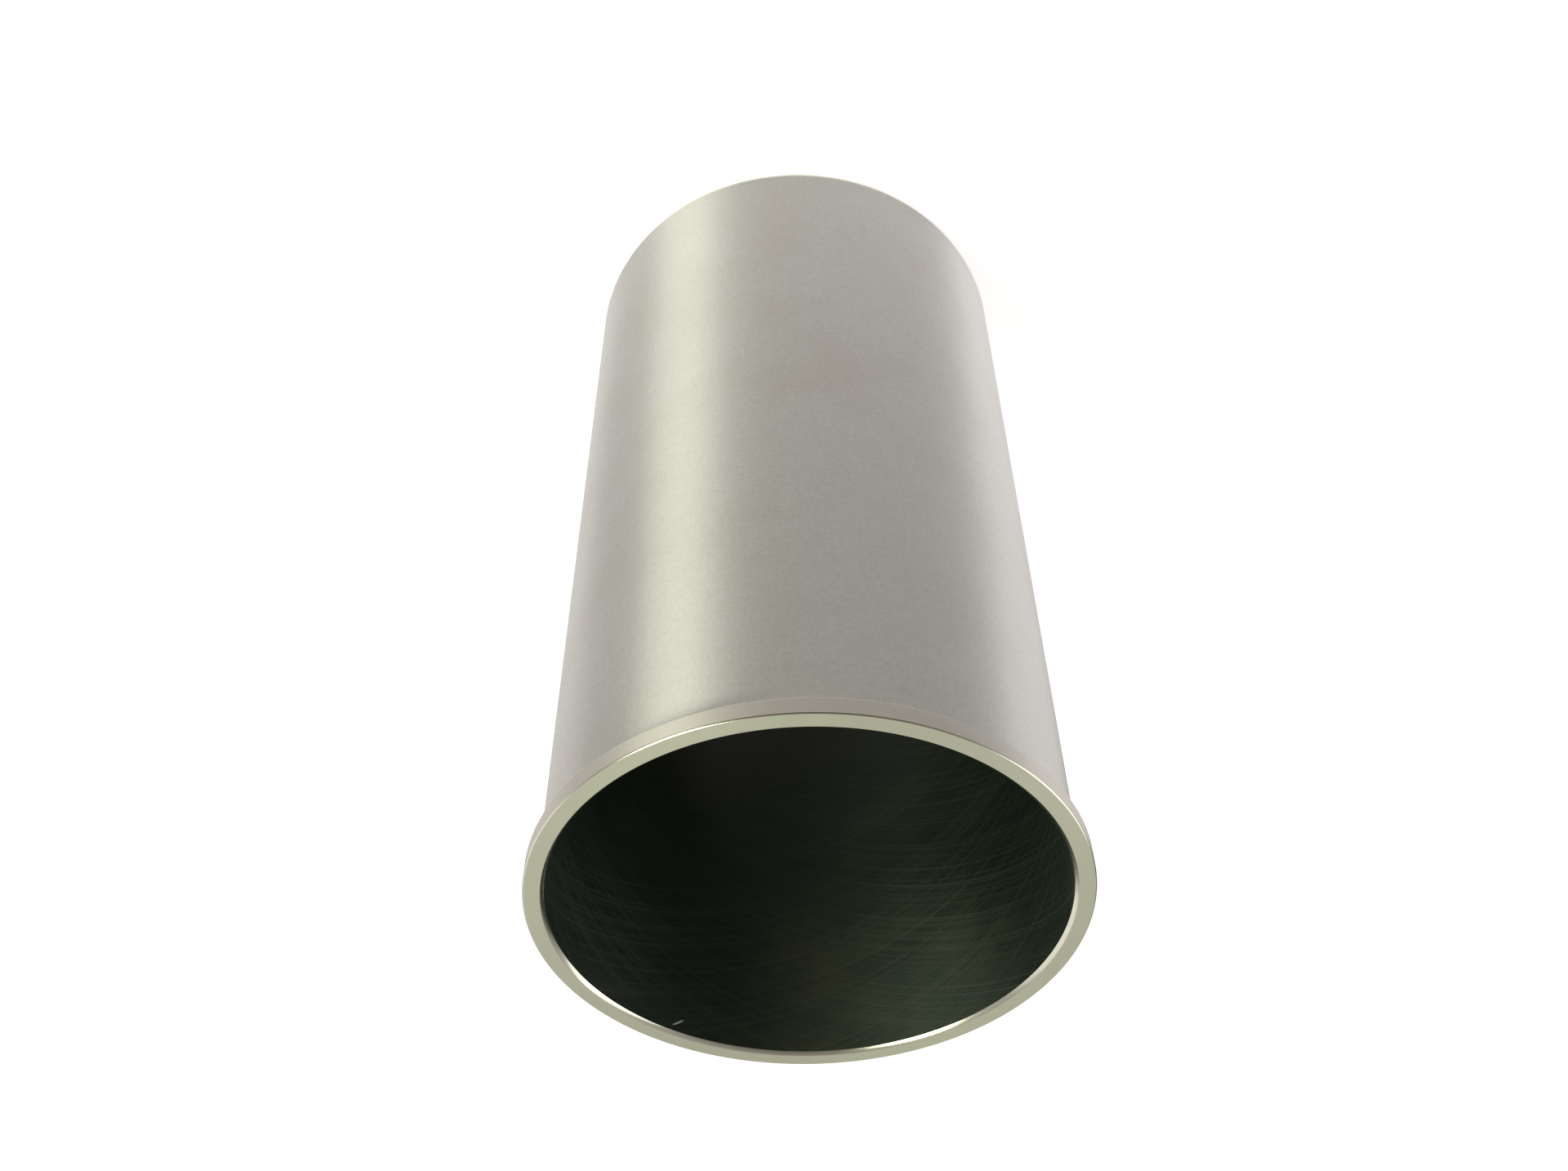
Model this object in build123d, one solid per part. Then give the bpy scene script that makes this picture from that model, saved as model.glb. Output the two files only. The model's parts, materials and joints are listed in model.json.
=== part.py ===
from build123d import *
import os

# Dry cylinder liner of a diesel engine: a thin-walled sleeve with a narrow locating flange,
# cast as a tube and then turned, ground and honed all over.
# Millimetres, +Z up along the bore, origin on the axis in the plane of the plain lower end.
# The liner stands on its plain end, with the flange up.

# ---- Driving sizes ----
length = 197.0                # overall, from the plain end to the top face
bore_diameter = 105.0         # honed running surface
wall = 1.75                   # from the bore to the ground barrel
flange_overhang = 2.55        # how far the flange stands out of the barrel, all round
flange_thickness = 4.0        # from the top face to the seat below it

# Mouth of the bore, where the piston rings are guided in
mouth_chamfer_width = 0.8     # radial
mouth_chamfer_depth = 0.7     # along the axis

# Outer edges of the flange, broken at 45 degrees
top_edge_break = 0.25
seat_edge_break = 0.2

# Groove under the seat, where the grinding wheel runs out and the block's corner clears
relief_depth = 0.15           # below the ground barrel
relief_width = 1.0            # along the axis
relief_slope = 0.4            # height of the sloping side, up which the wheel runs out
relief_corner_radius = 0.3    # where the groove turns into the seat

# Plain end: a slow taper that leads the barrel into the block, and the bore's broken edge
lead_in_width = 0.3           # radial
lead_in_height = 1.2          # along the axis
bore_end_break = 0.4          # at 45 degrees

# ---- Radii and heights that follow from them ----
bore_radius = bore_diameter / 2
barrel_radius = bore_radius + wall
flange_radius = barrel_radius + flange_overhang
relief_radius = barrel_radius - relief_depth
seat_height = length - flange_thickness
relief_foot = seat_height - relief_width


def half_section():
    """The wall cut through on one side of the axis: radius along X, height along Z."""
    plain_end_outer = (barrel_radius - lead_in_width, 0)
    relief_corner = (relief_radius, seat_height)
    outline = Polyline(
        plain_end_outer,
        (barrel_radius, lead_in_height),
        (barrel_radius, relief_foot),
        (relief_radius, relief_foot + relief_slope),
        relief_corner,
        (flange_radius - seat_edge_break, seat_height),
        (flange_radius, seat_height + seat_edge_break),
        (flange_radius, length - top_edge_break),
        (flange_radius - top_edge_break, length),
        (bore_radius + mouth_chamfer_width, length),
        (bore_radius, length - mouth_chamfer_depth),
        (bore_radius, bore_end_break),
        (bore_radius + bore_end_break, 0),
        close=True,
    )
    face = make_face(outline)
    corner = face.vertices().sort_by_distance(relief_corner)[0]
    return Plane.XZ * fillet(corner, relief_corner_radius)


def cylinder_liner():
    """The whole sleeve, turned about the bore's axis in one piece."""
    return revolve(half_section(), Axis.Z)


os.makedirs("parts", exist_ok=True)
export_step(cylinder_liner(), "parts/cylinder_liner.step")
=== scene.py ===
import json
from math import atan2, cos, pi, radians, sin, tan

import bpy
from mathutils import Matrix, Vector


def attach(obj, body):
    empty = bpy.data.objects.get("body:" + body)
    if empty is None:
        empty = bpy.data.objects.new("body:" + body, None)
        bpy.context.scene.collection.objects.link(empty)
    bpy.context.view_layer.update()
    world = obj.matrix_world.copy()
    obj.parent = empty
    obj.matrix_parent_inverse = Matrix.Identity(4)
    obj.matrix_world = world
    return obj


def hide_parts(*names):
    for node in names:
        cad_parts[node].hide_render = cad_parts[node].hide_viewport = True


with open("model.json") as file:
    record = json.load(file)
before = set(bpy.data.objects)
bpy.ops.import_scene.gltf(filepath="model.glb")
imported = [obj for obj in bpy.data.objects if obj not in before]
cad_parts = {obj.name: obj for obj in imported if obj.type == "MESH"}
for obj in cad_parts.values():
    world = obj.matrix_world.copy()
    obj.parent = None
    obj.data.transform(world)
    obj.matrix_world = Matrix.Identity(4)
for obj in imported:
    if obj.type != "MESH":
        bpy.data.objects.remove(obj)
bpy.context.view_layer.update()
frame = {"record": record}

# ---- The sleeve ----
# One thin-walled tube of grey cast iron with a narrow locating flange at its top, turned,
# ground and honed all over. Its half section is drawn corner by corner and then spun.
mm = 0.001
mounts = {mount["name"]: mount for mount in frame["record"]["mounts"]}


def radius_of(mount):
    """The radius of a round wall."""
    return mounts[mount]["dims"]["r_mm"] * mm


def span_of(mount):
    """The lowest and highest point of a round wall on the axis."""
    half = mounts[mount]["dims"]["length_mm"] / 2 * mm
    middle = mounts[mount]["pos_m"][2]
    return middle - half, middle + half


bore_radius = radius_of("bore")
barrel_radius = radius_of("barrel")
flange_radius = radius_of("flange_rim")
seat_height = mounts["flange_seat"]["pos_m"][2]
top_height = mounts["top_face"]["pos_m"][2]
bore_foot, mouth_foot = span_of("bore")
barrel_foot, barrel_top = span_of("barrel")
rim_foot, rim_top = span_of("flange_rim")

mouth_chamfer_width = 0.8 * mm
lead_in_width = 0.3 * mm
bore_end_break = 0.4 * mm
relief_depth, relief_slope = 0.15 * mm, 0.4 * mm
relief_radius = barrel_radius - relief_depth
relief_corner_radius = 0.3 * mm
tool_nose_radius = 0.06 * mm      # what the tool leaves on every turned corner
relief_corner_steps, tool_nose_steps = 6, 2
turn_steps = 720
hair = 0.01 * mm                  # nearer than this is the same place
seam = 0.2 * hair                 # how near the spin's last section comes to its first

# from the plain end up the outside and back down the bore, as (radius, height)
outline = [
    (barrel_radius - lead_in_width, 0),
    (barrel_radius, barrel_foot),
    (barrel_radius, barrel_top),
    (relief_radius, barrel_top + relief_slope),
    (relief_radius, seat_height),
    (flange_radius - (rim_foot - seat_height), seat_height),
    (flange_radius, rim_foot),
    (flange_radius, rim_top),
    (flange_radius - (top_height - rim_top), top_height),
    (bore_radius + mouth_chamfer_width, top_height),
    (bore_radius, mouth_foot),
    (bore_radius, bore_foot),
    (bore_radius + bore_end_break, 0),
]


def in_relief(radius, height):
    """True at the corner between the grinding relief and the seat."""
    reach = relief_corner_radius + hair
    return abs(radius - relief_radius) < reach and abs(height - seat_height) < reach


def pick(mesh, wanted):
    """In edit mode, selects only the vertices whose (radius, height) the test accepts."""
    bpy.ops.mesh.select_all(action="DESELECT")
    bpy.ops.object.mode_set(mode="OBJECT")
    for vertex in mesh.vertices:
        vertex.select = wanted(vertex.co.xy.length, vertex.co.z)
    bpy.ops.object.mode_set(mode="EDIT")


bpy.ops.object.select_all(action="DESELECT")
bpy.ops.mesh.primitive_plane_add(size=mm)
liner = bpy.context.object
liner.name = "liner"
bpy.ops.object.mode_set(mode="EDIT")
bpy.ops.mesh.select_mode(type="VERT")
bpy.ops.mesh.merge(type="CENTER")
bpy.ops.transform.translate(value=(outline[0][0], 0, outline[0][1]))
for here, there in zip(outline, outline[1:] + outline[:1]):
    step = (there[0] - here[0], 0, there[1] - here[1])
    bpy.ops.mesh.extrude_vertices_move(TRANSFORM_OT_translate={"value": step})
bpy.ops.mesh.select_all(action="SELECT")
bpy.ops.mesh.remove_doubles(threshold=hair)
pick(liner.data, in_relief)
bpy.ops.mesh.bevel(offset=relief_corner_radius, segments=relief_corner_steps, affect="VERTICES")
pick(liner.data, lambda radius, height: not in_relief(radius, height))
bpy.ops.mesh.bevel(offset=tool_nose_radius, segments=tool_nose_steps, affect="VERTICES")
bpy.ops.mesh.select_all(action="SELECT")
bpy.ops.mesh.spin(steps=turn_steps, angle=2 * pi, center=(0, 0, 0), axis=(0, 0, 1))
bpy.ops.mesh.select_all(action="SELECT")
bpy.ops.mesh.remove_doubles(threshold=seam)
bpy.ops.mesh.normals_make_consistent(inside=False)

# One small burr stands on the bore's wall just below the mouth, where something hard has
# slipped. The wall is cut into a fine grid there, and the line of the burr is raised from it.
burr_heading, burr_slope = radians(57.6), radians(-37)
burr_depth = 3.0 * mm             # from the top face down to its middle
burr_middle_height = top_height - burr_depth
burr_length, burr_width, burr_rise = 4.0 * mm, 0.42 * mm, 0.15 * mm
lift_shares = (1.0, 0.66, 0.33)   # each lift takes a narrower and shorter strip further
patch_reach = 2.4 * mm            # how far from the burr's middle the wall is cut finely
rows_in_patch, cuts_between_rays = 39, 3


def off_the_burr(point):
    """A point's place on the unrolled wall, along and across the burr."""
    around = (atan2(point.y, point.x) - burr_heading) * bore_radius
    up = point.z - burr_middle_height
    return (around * cos(burr_slope) + up * sin(burr_slope),
            up * cos(burr_slope) - around * sin(burr_slope))


def in_patch(point, slack=hair):
    """True on the bore's wall round the burr."""
    around = (atan2(point.y, point.x) - burr_heading) * bore_radius
    close = max(abs(around), abs(point.z - burr_middle_height)) < patch_reach + slack
    return close and abs(point.xy.length - bore_radius) < burr_rise + hair


def pick_edges(mesh, wanted):
    """In edit mode, selects only the edges whose two ends the test accepts."""
    bpy.ops.mesh.select_mode(type="EDGE")
    bpy.ops.mesh.select_all(action="DESELECT")
    bpy.ops.object.mode_set(mode="OBJECT")
    for edge in mesh.edges:
        edge.select = wanted(*[mesh.vertices[index].co for index in edge.vertices])
    bpy.ops.object.mode_set(mode="EDIT")


def close_strips(one, other):
    """The long edges of the bore's wall that pass the burr."""
    middle = (one + other) / 2
    at_burr = Vector((middle.x, middle.y, burr_middle_height))
    return in_patch(at_burr, mm) and abs(one.z - other.z) > patch_reach


def runs_up(one, other):
    """The edges of the patch that run up the bore."""
    return in_patch(one) and in_patch(other) and abs(one.z - other.z) > mm


def runs_round(one, other):
    """The edges of the patch that run round the bore."""
    return in_patch(one) and in_patch(other) and abs(one.z - other.z) < hair


for cut_height in (burr_middle_height - patch_reach, burr_middle_height + patch_reach):
    pick_edges(liner.data, close_strips)
    bpy.ops.mesh.bisect(plane_co=(0, 0, cut_height), plane_no=(0, 0, 1))
pick_edges(liner.data, runs_up)
bpy.ops.mesh.subdivide(number_cuts=rows_in_patch)
pick_edges(liner.data, runs_round)
bpy.ops.mesh.subdivide(number_cuts=cuts_between_rays)
inwards = -Vector((cos(burr_heading), sin(burr_heading), 0))
bpy.ops.mesh.select_mode(type="VERT")
for share in lift_shares:
    bpy.ops.mesh.select_all(action="DESELECT")
    bpy.ops.object.mode_set(mode="OBJECT")
    for vertex in liner.data.vertices:
        along, across = off_the_burr(vertex.co)
        taper = share * (1 - (2 * along / burr_length) ** 2)
        vertex.select = in_patch(vertex.co, 0) and 2 * abs(across) < taper * burr_width
    bpy.ops.object.mode_set(mode="EDIT")
    bpy.ops.transform.translate(value=inwards * burr_rise / len(lift_shares))
bpy.ops.object.mode_set(mode="OBJECT")
bpy.ops.object.shade_smooth()
true_flats = liner.modifiers.new("true flats", "WEIGHTED_NORMAL")
true_flats.weight = 100           # the wide faces alone decide, so flats shade flat
bpy.ops.object.modifier_apply(modifier=true_flats.name)
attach(liner, "root")
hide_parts("cylinder_liner")


# ---- Finish of the barrel: ground grey cast iron ----
# The wheel runs round the work, so its scratches lie round the barrel. They spread a
# reflection along the bore's axis and leave it sharp round the circumference. Flakes of
# graphite speck the metal, and a film of oil clouds it.
def linear(hex_colour):
    """An sRGB hex colour as the linear RGBA that a shader takes."""
    channels = [int(hex_colour[i:i + 2], 16) / 255 for i in (1, 3, 5)]
    return [c / 12.92 if c <= 0.04045 else ((c + 0.055) / 1.055) ** 2.4 for c in channels] + [1]


def add(tree, kind, inputs=(), **settings):
    """Adds a node with its settings. An input is a value, or a socket to link from."""
    node = tree.nodes.new(kind)
    for name, value in settings.items():
        setattr(node, name, value)
    for name, value in dict(inputs).items():
        if isinstance(value, bpy.types.NodeSocket):
            tree.links.new(value, node.inputs[name])
        else:
            node.inputs[name].default_value = value
    return node


def new_material(name):
    material = bpy.data.materials.new(name)
    material.use_nodes = True
    material.node_tree.nodes.clear()
    return material, material.node_tree


def per(length):
    """A pattern scale that repeats about once in that length."""
    return 1 / length


ground_iron, tree = new_material("ground_cast_iron")
place = add(tree, "ShaderNodeTexCoord").outputs["Object"]
scratch_length, scratch_pitch = 7 * mm, 0.35 * mm     # real grit is 0.02 mm, too fine to show
flake_size = 0.8 * mm                                 # graphite is 0.1 mm long, drawn coarser
film_size = 22 * mm
scratches = add(tree, "ShaderNodeMapping", {
    "Vector": place, "Scale": (per(scratch_length), per(scratch_length), per(scratch_pitch))})
lines = add(tree, "ShaderNodeTexNoise", {"Vector": scratches.outputs[0], "Scale": 1, "Detail": 2})
flakes = add(tree, "ShaderNodeTexNoise", {"Vector": place, "Scale": per(flake_size), "Detail": 3})
film = add(tree, "ShaderNodeTexNoise", {"Vector": place, "Scale": per(film_size), "Detail": 3})
bare = add(tree, "ShaderNodeMix", {
    "Factor": lines.outputs["Fac"], "A": linear("#CAC7C6"), "B": linear("#D5D2D1")}, data_type="RGBA")
oily = add(tree, "ShaderNodeMapRange", {
    "Value": film.outputs["Fac"], "From Min": 0.45, "From Max": 0.75, "To Min": 0.0, "To Max": 0.3})
tone = add(tree, "ShaderNodeMix", {
    "Factor": oily.outputs[0], "A": bare.outputs["Result"], "B": linear("#C3BAB4")}, data_type="RGBA")
specks = add(tree, "ShaderNodeMapRange", {
    "Value": flakes.outputs["Fac"], "From Min": 0.35, "From Max": 0.7, "To Min": 0.0, "To Max": 0.35})
speckled = add(tree, "ShaderNodeMix", {
    "Factor": specks.outputs[0], "A": tone.outputs["Result"], "B": linear("#B9B5B0")}, data_type="RGBA")
dulling = add(tree, "ShaderNodeMapRange", {
    "Value": flakes.outputs["Fac"], "From Min": 0.3, "From Max": 0.7, "To Min": 0.405, "To Max": 0.42})
scratch_depth = 0.004 * mm
relief = add(tree, "ShaderNodeBump", {
    "Height": lines.outputs["Fac"], "Strength": 0.25, "Distance": scratch_depth})
around = add(tree, "ShaderNodeTangent", direction_type="RADIAL", axis="Z")
surface = add(tree, "ShaderNodeBsdfPrincipled", {
    "Base Color": speckled.outputs["Result"], "Metallic": 1, "Roughness": dulling.outputs[0],
    "Anisotropic": 1.0, "Anisotropic Rotation": 0.25,
    "Tangent": around.outputs[0], "Normal": relief.outputs[0]})
add(tree, "ShaderNodeOutputMaterial", {"Surface": surface.outputs[0]})

# ---- Finish of the flange's rim: finely turned grey cast iron ----
# It is left as the tool cut it, with a fine thread of tool marks round it. They spread a
# reflection along the axis and leave the rim a little duller than the ground barrel.
rim_iron, tree = new_material("finely_turned_cast_iron")
place = add(tree, "ShaderNodeTexCoord").outputs["Object"]
mark_length, mark_pitch = 20 * mm, 0.4 * mm           # the real feed is 0.1 mm, too fine to show
cuts = add(tree, "ShaderNodeMapping", {
    "Vector": place, "Scale": (per(mark_length), per(mark_length), per(mark_pitch))})
lines = add(tree, "ShaderNodeTexNoise", {"Vector": cuts.outputs[0], "Scale": 1, "Detail": 2})
tone = add(tree, "ShaderNodeMix", {
    "Factor": lines.outputs["Fac"], "A": linear("#C9C3BD"), "B": linear("#D4CFCA")}, data_type="RGBA")
around = add(tree, "ShaderNodeTangent", direction_type="RADIAL", axis="Z")
surface = add(tree, "ShaderNodeBsdfPrincipled", {
    "Base Color": tone.outputs["Result"], "Metallic": 1, "Roughness": 0.44,
    "Anisotropic": 0.96, "Anisotropic Rotation": 0.25, "Tangent": around.outputs[0]})
add(tree, "ShaderNodeOutputMaterial", {"Surface": surface.outputs[0]})

# ---- Finish of the top face: turned grey cast iron ----
# A lathe tool faces it, so fine rings lie round the mouth and spread a reflection across
# them. A cloudy khaki cast in its colour is a painted reflection of warm surroundings.
turned_iron, tree = new_material("turned_cast_iron")
place = add(tree, "ShaderNodeTexCoord").outputs["Object"]
khaki_cloud_size = 5 * mm
cloud = add(tree, "ShaderNodeTexNoise", {"Vector": place, "Scale": per(khaki_cloud_size), "Detail": 4})
# painted reflection: the khaki cast of the face's colour
tone = add(tree, "ShaderNodeMix", {
    "Factor": cloud.outputs["Fac"], "A": linear("#DEE0C6"), "B": linear("#E6E8CE")}, data_type="RGBA")
around = add(tree, "ShaderNodeTangent", direction_type="RADIAL", axis="Z")
surface = add(tree, "ShaderNodeBsdfPrincipled", {
    "Base Color": tone.outputs["Result"], "Metallic": 1, "Roughness": 0.42,
    "Anisotropic": 0.5, "Anisotropic Rotation": 0.25, "Tangent": around.outputs[0]})
add(tree, "ShaderNodeOutputMaterial", {"Surface": surface.outputs[0]})

# ---- Finish of the chamfers: bright turned cast iron ----
# The chamfer in the mouth, the broken edges and the lead-in are cut with a keen tool on the
# last pass. They are smooth enough to mirror the room, so each is a thin bright line with
# dark stretches.
bright_iron, tree = new_material("bright_turned_cast_iron")
place = add(tree, "ShaderNodeTexCoord").outputs["Object"]
touch_size = 3 * mm
cloud = add(tree, "ShaderNodeTexNoise", {"Vector": place, "Scale": per(touch_size), "Detail": 4})
tone = add(tree, "ShaderNodeMix", {
    "Factor": cloud.outputs["Fac"], "A": linear("#BBB9A8"), "B": linear("#C7C6B6")}, data_type="RGBA")
surface = add(tree, "ShaderNodeBsdfPrincipled", {
    "Base Color": tone.outputs["Result"], "Metallic": 1, "Roughness": 0.18})
add(tree, "ShaderNodeOutputMaterial", {"Surface": surface.outputs[0]})

# ---- Finish of the bore: honed and phosphated cast iron ----
# The hone turns and strokes at once, so its scratches cross on two helices. The phosphate
# coat is a dark grey green, and keeps a dull sheen of oil that shows the crossing lines.
phosphated_iron, tree = new_material("honed_phosphated_cast_iron")
place = add(tree, "ShaderNodeTexCoord").outputs["Object"]
height = add(tree, "ShaderNodeSeparateXYZ", {"Vector": place}).outputs["Z"]
hone_angle = radians(20)
hone_pitch, hone_stroke = 0.5 * mm, 50 * mm           # real grooves are 0.05 mm apart, too fine to show
hone_depth, stain_size = 0.012 * mm, 16 * mm
families = []
for hand in (1, -1):
    twist = add(tree, "ShaderNodeMath", {
        0: height, 1: hand / (bore_radius * tan(hone_angle))}, operation="MULTIPLY")
    untwisted = add(tree, "ShaderNodeVectorRotate", {
        "Vector": place, "Angle": twist.outputs[0]}, rotation_type="Z_AXIS")
    across = sin(hone_angle) / hone_pitch
    squeezed = add(tree, "ShaderNodeMapping", {
        "Vector": untwisted.outputs[0], "Scale": (across, across, per(hone_stroke))})
    families.append(add(tree, "ShaderNodeTexNoise", {
        "Vector": squeezed.outputs[0], "Scale": 1, "Detail": 3, "Roughness": 0.7}).outputs["Fac"])
crossing = add(tree, "ShaderNodeMath", {0: families[0], 1: families[1]}, operation="MAXIMUM")
scored = add(tree, "ShaderNodeMapRange", {
    "Value": crossing.outputs[0], "From Min": 0.47, "From Max": 0.76})
stain = add(tree, "ShaderNodeTexNoise", {"Vector": place, "Scale": per(stain_size), "Detail": 2})
coat = add(tree, "ShaderNodeMix", {
    "Factor": stain.outputs["Fac"], "A": linear("#15211D"), "B": linear("#1F221B")}, data_type="RGBA")
tone = add(tree, "ShaderNodeMix", {
    "Factor": scored.outputs[0], "A": coat.outputs["Result"], "B": linear("#373F36")}, data_type="RGBA")

# the oil gives what the wall reflects a green cast, which turns brown where less oil reached
dry_depth, oiled_depth = 130 * mm, 40 * mm            # both from the top face down
oiled = add(tree, "ShaderNodeMapRange", {
    "Value": height, "From Min": top_height - dry_depth, "From Max": top_height - oiled_depth},
    interpolation_type="SMOOTHSTEP")
oil = add(tree, "ShaderNodeMix", {
    "Factor": oiled.outputs[0], "A": linear("#D2C6B8"), "B": linear("#DFF2DC")}, data_type="RGBA")

# one side just below the mouth is duller and more deeply scored, and a khaki patch painted
# there, streaked along the hone lines, stands in for the light that falls on that side
lit_patch_heading, lit_patch_depth = radians(112), 52 * mm
lit_patch_side = Vector((cos(lit_patch_heading), sin(lit_patch_heading), 0)) / bore_radius
sideways = add(tree, "ShaderNodeVectorMath", {0: place, 1: lit_patch_side}, operation="DOT_PRODUCT")
on_side = add(tree, "ShaderNodeMapRange", {
    "Value": sideways.outputs["Value"], "From Min": 0.72, "From Max": 0.99},
    interpolation_type="SMOOTHSTEP")
near_mouth = add(tree, "ShaderNodeMapRange", {
    "Value": height, "From Min": top_height - lit_patch_depth, "From Max": top_height},
    interpolation_type="SMOOTHSTEP")
lit_side_patch = add(tree, "ShaderNodeMath", {
    0: on_side.outputs[0], 1: near_mouth.outputs[0]}, operation="MULTIPLY")
patchy = add(tree, "ShaderNodeMath", {
    0: stain.outputs["Fac"], 1: 0.5, 2: lit_side_patch.outputs[0]}, operation="MULTIPLY_ADD")
lined = add(tree, "ShaderNodeMath", {
    0: scored.outputs[0], 1: 0.45, 2: patchy.outputs[0]}, operation="MULTIPLY_ADD")
# painted light: a cloudy khaki patch on the lit side just below the mouth, streaked along the hone lines
painted_light_cloud = add(tree, "ShaderNodeMapRange", {
    "Value": stain.outputs["Fac"], "From Min": 0.35, "From Max": 0.65, "To Min": 0.0, "To Max": 0.9})
painted_light_patch = add(tree, "ShaderNodeMath", {
    0: painted_light_cloud.outputs[0], 1: lit_side_patch.outputs[0]}, operation="MULTIPLY")
ridged = add(tree, "ShaderNodeMapRange", {"Value": scored.outputs[0], "To Min": 0.6, "To Max": 1.8})
painted_light_lines = add(tree, "ShaderNodeMath", {0: painted_light_patch.outputs[0], 1: ridged.outputs[0]}, operation="MULTIPLY")
with_painted_light = add(tree, "ShaderNodeMix", {
    "Factor": painted_light_lines.outputs[0], "A": tone.outputs["Result"], "B": linear("#423E2B")}, data_type="RGBA")
patch_scoring = add(tree, "ShaderNodeMapRange", {"Value": lit_side_patch.outputs[0], "To Min": 0.33, "To Max": 0.9})
sheen = add(tree, "ShaderNodeMapRange", {
    "Value": lined.outputs[0], "From Min": 0.1, "From Max": 1.8, "To Min": 0.28, "To Max": 0.66})
relief = add(tree, "ShaderNodeBump", {
    "Height": crossing.outputs[0], "Strength": patch_scoring.outputs[0], "Distance": hone_depth})
around = add(tree, "ShaderNodeTangent", direction_type="RADIAL", axis="Z")
surface = add(tree, "ShaderNodeBsdfPrincipled", {
    "Base Color": with_painted_light.outputs["Result"], "Metallic": 0.0, "Roughness": sheen.outputs[0], "IOR": 2.0,
    "Specular Tint": oil.outputs["Result"], "Anisotropic": 0.7, "Anisotropic Rotation": 0.25,
    "Tangent": around.outputs[0], "Normal": relief.outputs[0]})
add(tree, "ShaderNodeOutputMaterial", {"Surface": surface.outputs[0]})

# ---- Finish of the burr: bare cast iron, torn open ----
# The coat is gone where something hard has scraped up the iron. Fresh metal shows there,
# pale and dull.
torn_iron, tree = new_material("torn_cast_iron")
place = add(tree, "ShaderNodeTexCoord").outputs["Object"]
tear_size = 0.3 * mm
grain = add(tree, "ShaderNodeTexNoise", {"Vector": place, "Scale": per(tear_size), "Detail": 2})
tone = add(tree, "ShaderNodeMix", {
    "Factor": grain.outputs["Fac"], "A": linear("#C8C6BC"), "B": linear("#E4E2DA")}, data_type="RGBA")
surface = add(tree, "ShaderNodeBsdfPrincipled", {
    "Base Color": tone.outputs["Result"], "Metallic": 1, "Roughness": 0.5})
add(tree, "ShaderNodeOutputMaterial", {"Surface": surface.outputs[0]})

# every face of the liner takes the finish that belongs to its place
for material in (ground_iron, rim_iron, turned_iron, bright_iron, phosphated_iron, torn_iron):
    liner.data.materials.append(material)
GROUND, FINE, TURNED, BRIGHT, HONED, TORN = range(6)
# the upright share of a normal: the most on a wall and on the burr, the least on a flat end
wall_lean, burr_lean, end_lean = 0.1, 0.9, 0.95


def finish_of(face):
    """Which finish a face has, by where it lies and which way it looks."""
    lean = abs(face.normal.z)
    if abs(face.center.xy.length - bore_radius) < burr_rise + hair and lean < burr_lean:
        along, across = off_the_burr(face.center)
        on_burr = 2 * abs(across) < burr_width * (1 - (2 * along / burr_length) ** 2)
        if on_burr or lean < wall_lean:
            return TORN if on_burr else HONED
    if lean > end_lean:
        return TURNED
    if lean > wall_lean:
        return BRIGHT
    return FINE if face.center.xy.length > barrel_radius + mm else GROUND


for face in liner.data.polygons:
    face.material_index = finish_of(face)

# ---- Floor ----
# A sheet of white paper that the liner stands on. Its glow keeps it white for the camera,
# and near the liner gives the ground barrel something bright to reflect.
floor_size = 6.0
glow_reach, glow_core = 0.34, 0.07                    # metres from the liner's axis
seen_glow, core_glow, glow_in_bore = 0.6, 0.5, 0.25
bpy.ops.mesh.primitive_plane_add(size=floor_size)
floor = bpy.context.object
floor.name = "floor"
white_paper, tree = new_material("white_paper")
place = add(tree, "ShaderNodeTexCoord").outputs["Object"]
distance = add(tree, "ShaderNodeVectorMath", {0: place}, operation="LENGTH")
near = add(tree, "ShaderNodeMapRange", {
    "Value": distance.outputs["Value"], "From Min": glow_reach, "From Max": glow_core,
    "To Min": 0.0, "To Max": core_glow})
# the glow for reflections is dimmed on the floor inside the bore, a painted shade where the tube covers it
uncovered = add(tree, "ShaderNodeMapRange", {
    "Value": distance.outputs["Value"], "From Min": bore_radius / 2, "From Max": barrel_radius,
    "To Min": glow_in_bore, "To Max": 1.0})
open_near = add(tree, "ShaderNodeMath", {
    0: near.outputs[0], 1: uncovered.outputs[0]}, operation="MULTIPLY")
path = add(tree, "ShaderNodeLightPath")
mirrored = add(tree, "ShaderNodeMath", {
    0: path.outputs["Is Glossy Ray"], 1: open_near.outputs[0]}, operation="MULTIPLY")
glow = add(tree, "ShaderNodeMath", {
    0: path.outputs["Is Camera Ray"], 1: seen_glow, 2: mirrored.outputs[0]}, operation="MULTIPLY_ADD")
paper = add(tree, "ShaderNodeBsdfDiffuse", {"Color": linear("#E6E6E6")})
light = add(tree, "ShaderNodeEmission", {"Color": (1, 1, 1, 1), "Strength": glow.outputs[0]})
both = add(tree, "ShaderNodeAddShader", {0: paper.outputs[0], 1: light.outputs[0]})
add(tree, "ShaderNodeOutputMaterial", {"Surface": both.outputs[0]})
floor.data.materials.append(white_paper)

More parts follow.
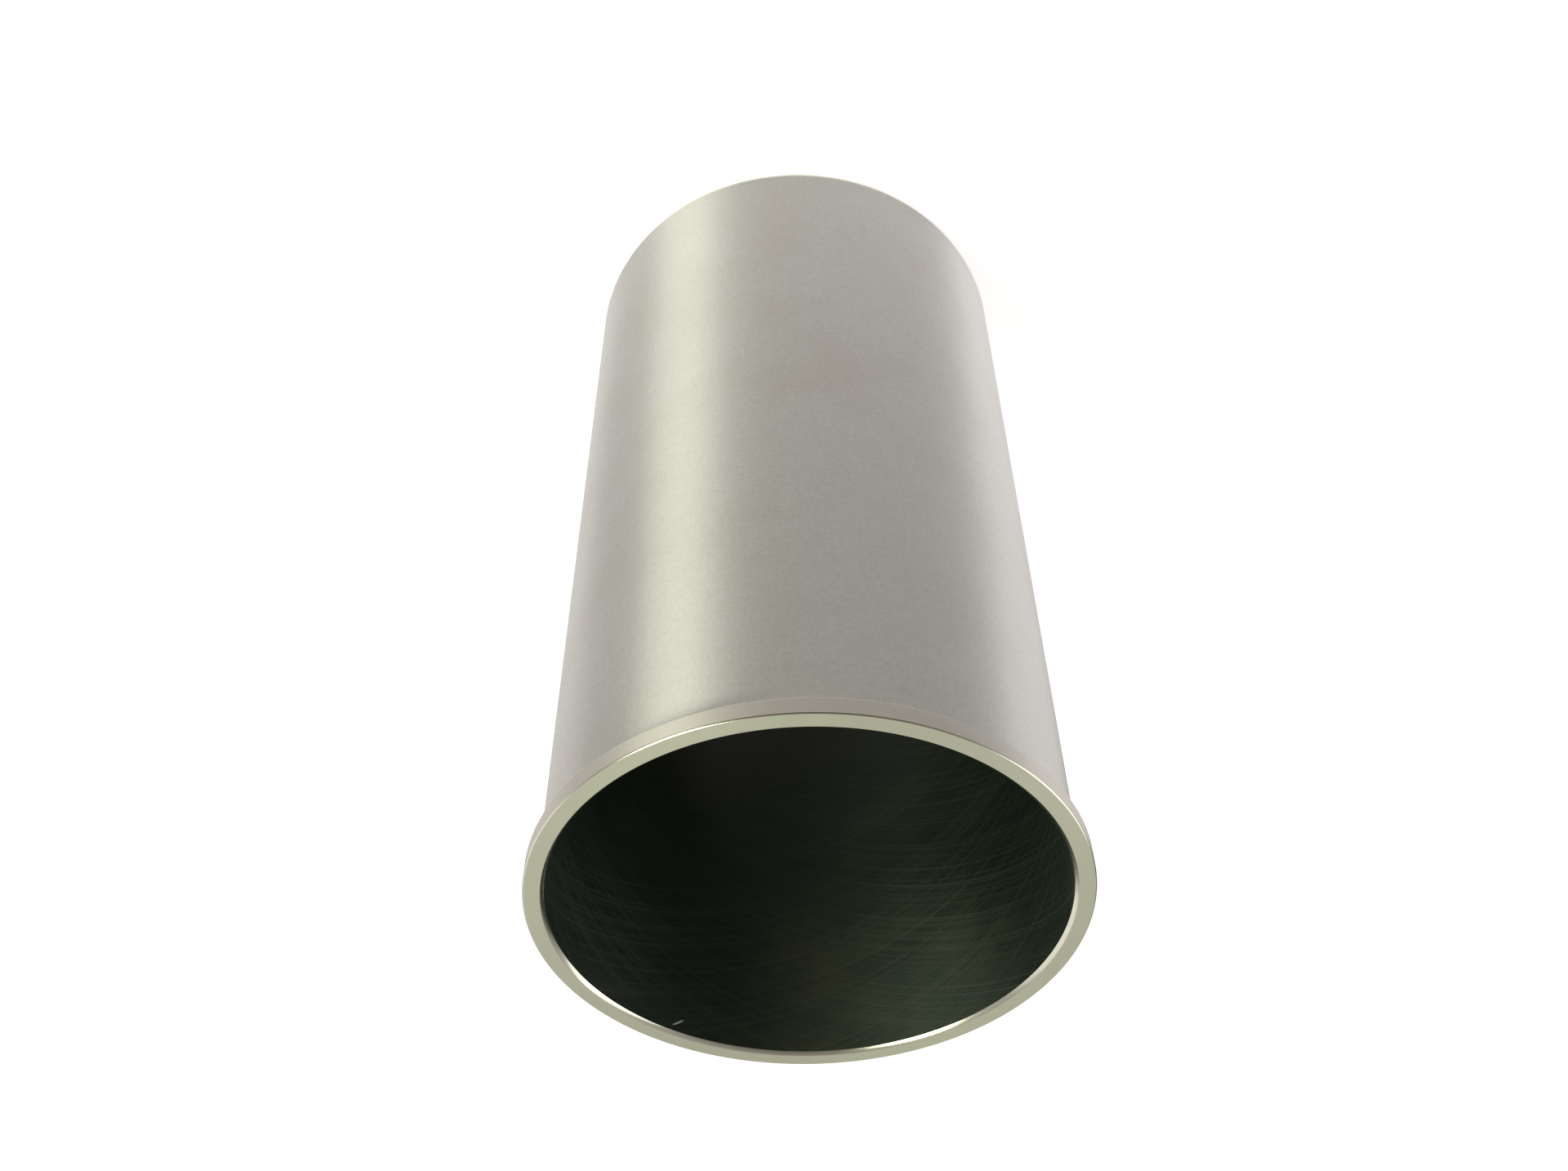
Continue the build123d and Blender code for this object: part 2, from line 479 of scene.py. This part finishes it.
# ---- Studio light ----
# A grey room, darker on the camera's side, with a bright window on one side and a dark bench
# low down behind the liner. Two softboxes hang in it. The camera itself sees the room as
# plain white.
world = bpy.data.worlds.new("studio")
bpy.context.scene.world = world
world.use_nodes = True
tree = world.node_tree
tree.nodes.clear()
direction = add(tree, "ShaderNodeTexCoord").outputs["Generated"]
window_heading, window_rise, window_level = radians(35), 0.2, 2.5
window = Vector((cos(window_heading), sin(window_heading), window_rise)).normalized()
facing = add(tree, "ShaderNodeVectorMath", {0: direction, 1: window}, operation="DOT_PRODUCT")
brighter = add(tree, "ShaderNodeMapRange", {
    "Value": facing.outputs["Value"], "From Min": 0.82, "From Max": 0.95,
    "To Min": 1.0, "To Max": window_level}, interpolation_type="SMOOTHSTEP")
parts = add(tree, "ShaderNodeSeparateXYZ", {"Vector": direction})
away = add(tree, "ShaderNodeMapRange", {
    "Value": parts.outputs["Y"], "From Min": -0.8, "From Max": 0.12}, interpolation_type="SMOOTHSTEP")
open_walls = add(tree, "ShaderNodeMix", {
    "Factor": away.outputs[0], "A": linear("#786F69"), "B": linear("#C4C2C1")}, data_type="RGBA")
bench_heading = radians(104)
bench = Vector((cos(bench_heading), sin(bench_heading), 0))
behind = add(tree, "ShaderNodeVectorMath", {0: direction, 1: bench}, operation="DOT_PRODUCT")
at_bench = add(tree, "ShaderNodeMapRange", {
    "Value": behind.outputs["Value"], "From Min": 0.64, "From Max": 0.86}, interpolation_type="SMOOTHSTEP")
low = add(tree, "ShaderNodeMapRange", {
    "Value": parts.outputs["Z"], "From Min": 0.5, "From Max": 0.18}, interpolation_type="SMOOTHSTEP")
dark = add(tree, "ShaderNodeMath", {0: at_bench.outputs[0], 1: low.outputs[0]}, operation="MULTIPLY")
walls = add(tree, "ShaderNodeMix", {
    "Factor": dark.outputs[0], "A": open_walls.outputs["Result"], "B": linear("#3E3E35")}, data_type="RGBA")
path = add(tree, "ShaderNodeLightPath")
level = add(tree, "ShaderNodeMix", {
    "Factor": path.outputs["Is Camera Ray"], "A": brighter.outputs[0], "B": 1.0}, data_type="FLOAT")
colour = add(tree, "ShaderNodeMix", {
    "Factor": path.outputs["Is Camera Ray"], "A": walls.outputs["Result"], "B": (1, 1, 1, 1)},
    data_type="RGBA")
sky = add(tree, "ShaderNodeBackground", {
    "Color": colour.outputs["Result"], "Strength": level.outputs[0]})
add(tree, "ShaderNodeOutputWorld", {"Surface": sky.outputs[0]})
softbox_distance = 1.3            # metres from the liner's middle


def softbox(name, heading, height_angle, width, height, level, colour):
    """A rectangular light that looks at the middle of the liner from that heading and height."""
    target = Vector((0, 0, top_height / 2))
    out = Vector((cos(heading) * cos(height_angle), sin(heading) * cos(height_angle), sin(height_angle)))
    bpy.ops.object.light_add(type="AREA", location=target + softbox_distance * out)
    lamp = bpy.context.object
    lamp.name = name
    lamp.rotation_mode = "QUATERNION"
    lamp.rotation_quaternion = out.to_track_quat("Z", "Y")
    lamp.data.shape = "RECTANGLE"
    lamp.data.size, lamp.data.size_y = width, height
    lamp.data.energy = level * pi * width * height
    lamp.data.color = linear(colour)[:3]


softbox("side_softbox", heading=radians(169), height_angle=radians(30.5),
        width=0.92, height=0.82, level=1.85, colour="#FFFFFF")
softbox("front_softbox", heading=radians(329), height_angle=radians(50),
        width=0.50, height=0.62, level=9.2, colour="#F7FFE5")

# ---- Camera ----
# It stands close to the flange and looks down into the mouth. It is turned over, so that
# the plain end is at the picture's top.
eye_from_top = Vector((6.95 * mm, -270.5 * mm, 200.5 * mm))
heading, tilt, roll = radians(0.588), radians(42.44), radians(179.203)
bpy.ops.object.camera_add(location=Vector((0, 0, top_height)) + eye_from_top)
camera = bpy.context.object
turn = Matrix.Rotation(heading, 3, "Z") @ Matrix.Rotation(tilt, 3, "X") @ Matrix.Rotation(roll, 3, "Z")
camera.rotation_mode = "QUATERNION"
camera.rotation_quaternion = turn.to_quaternion()
camera.data.lens = 38.217
camera.data.sensor_width = 36
camera.data.clip_start = 0.01
bpy.context.scene.camera = camera

view = bpy.context.scene.view_settings
view.view_transform = "Standard"
